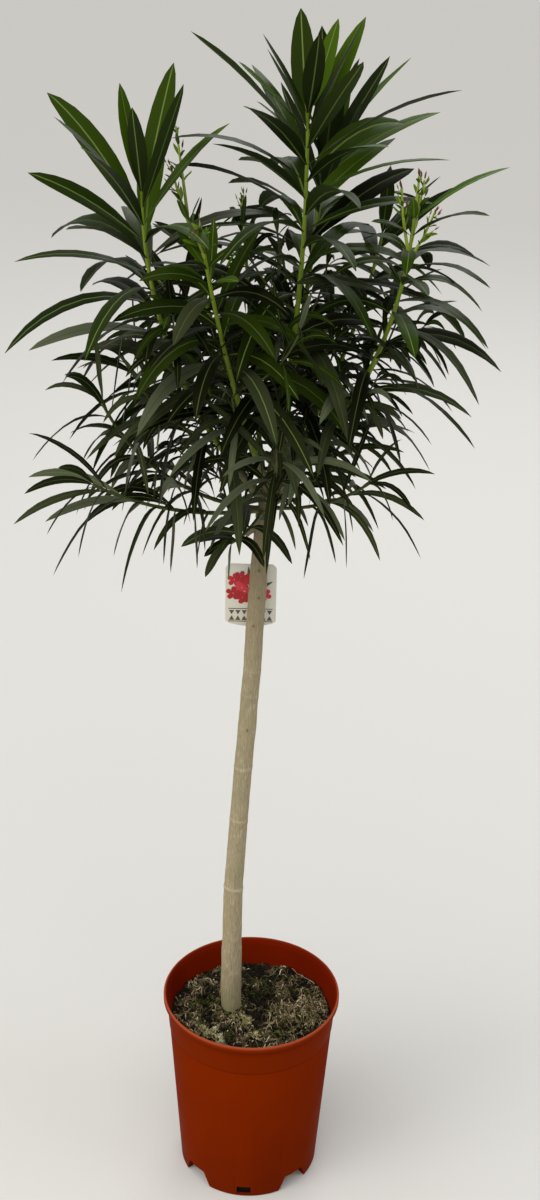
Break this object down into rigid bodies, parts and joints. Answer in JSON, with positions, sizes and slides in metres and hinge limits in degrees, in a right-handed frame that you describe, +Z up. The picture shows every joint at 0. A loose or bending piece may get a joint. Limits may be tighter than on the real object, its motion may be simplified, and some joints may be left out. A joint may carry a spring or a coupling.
{
  "type": "potted oleander",
  "caption": "Oleander grown as a standard: one bare leaning stem in a round nursery pot of soil, with a loose rounded head of upright leafy shoots and a care label.",
  "frame": {"origin": "centre of the pot's flat underside, on the ground", "axes": "+Z up along the pot; the front, which the label faces, is -Y; +X is to the right as seen from the front"},
  "size_m": [0.5117, 0.4581, 1.3841],
  "materials": {
    "pot_plastic": "terracotta-coloured moulded plastic with a soft sheen",
    "soil": "dark, coarse potting compost with fibres and moss",
    "bark": "smooth pale bark with fine cracks and leaf scars",
    "green_wood": "young shoots, olive brown at the foot and green above",
    "foliage": "leathery dark green leaves, paler below, with a pale midrib",
    "label_card": "printed plastic card with a strap"
  },
  "bodies": {
    "root": {"pot": "pot_plastic", "soil": "soil", "stem": "bark", "care_label": "label_card", "bough_leader": "green_wood", "bough_back_leader": "green_wood", "bough_front": "green_wood", "bough_left_back": "green_wood", "bough_right_front": "green_wood", "bough_right_back": "green_wood", "bough_back": "green_wood", "bough_left_tall": "green_wood", "bough_mid_front": "green_wood", "bough_mid_left": "green_wood", "bough_far_right": "green_wood", "bough_back_left": "green_wood", "bough_low_right": "green_wood", "bough_low_left": "green_wood", "bough_lowest_left": "green_wood", "bough_low_back": "green_wood", "bough_low_right_back": "green_wood", "bough_low_front": "green_wood", "foliage_leader": "foliage", "foliage_back_leader": "foliage", "foliage_front": "foliage", "foliage_left_back": "foliage", "foliage_right_front": "foliage", "foliage_right_back": "foliage", "foliage_back": "foliage", "foliage_left_tall": "foliage", "foliage_mid_front": "foliage", "foliage_mid_left": "foliage", "foliage_far_right": "foliage", "foliage_back_left": "foliage", "foliage_low_right": "foliage", "foliage_low_left": "foliage", "foliage_lowest_left": "foliage", "foliage_low_back": "foliage", "foliage_low_right_back": "foliage", "foliage_low_front": "foliage"}
  },
  "joints": []
}
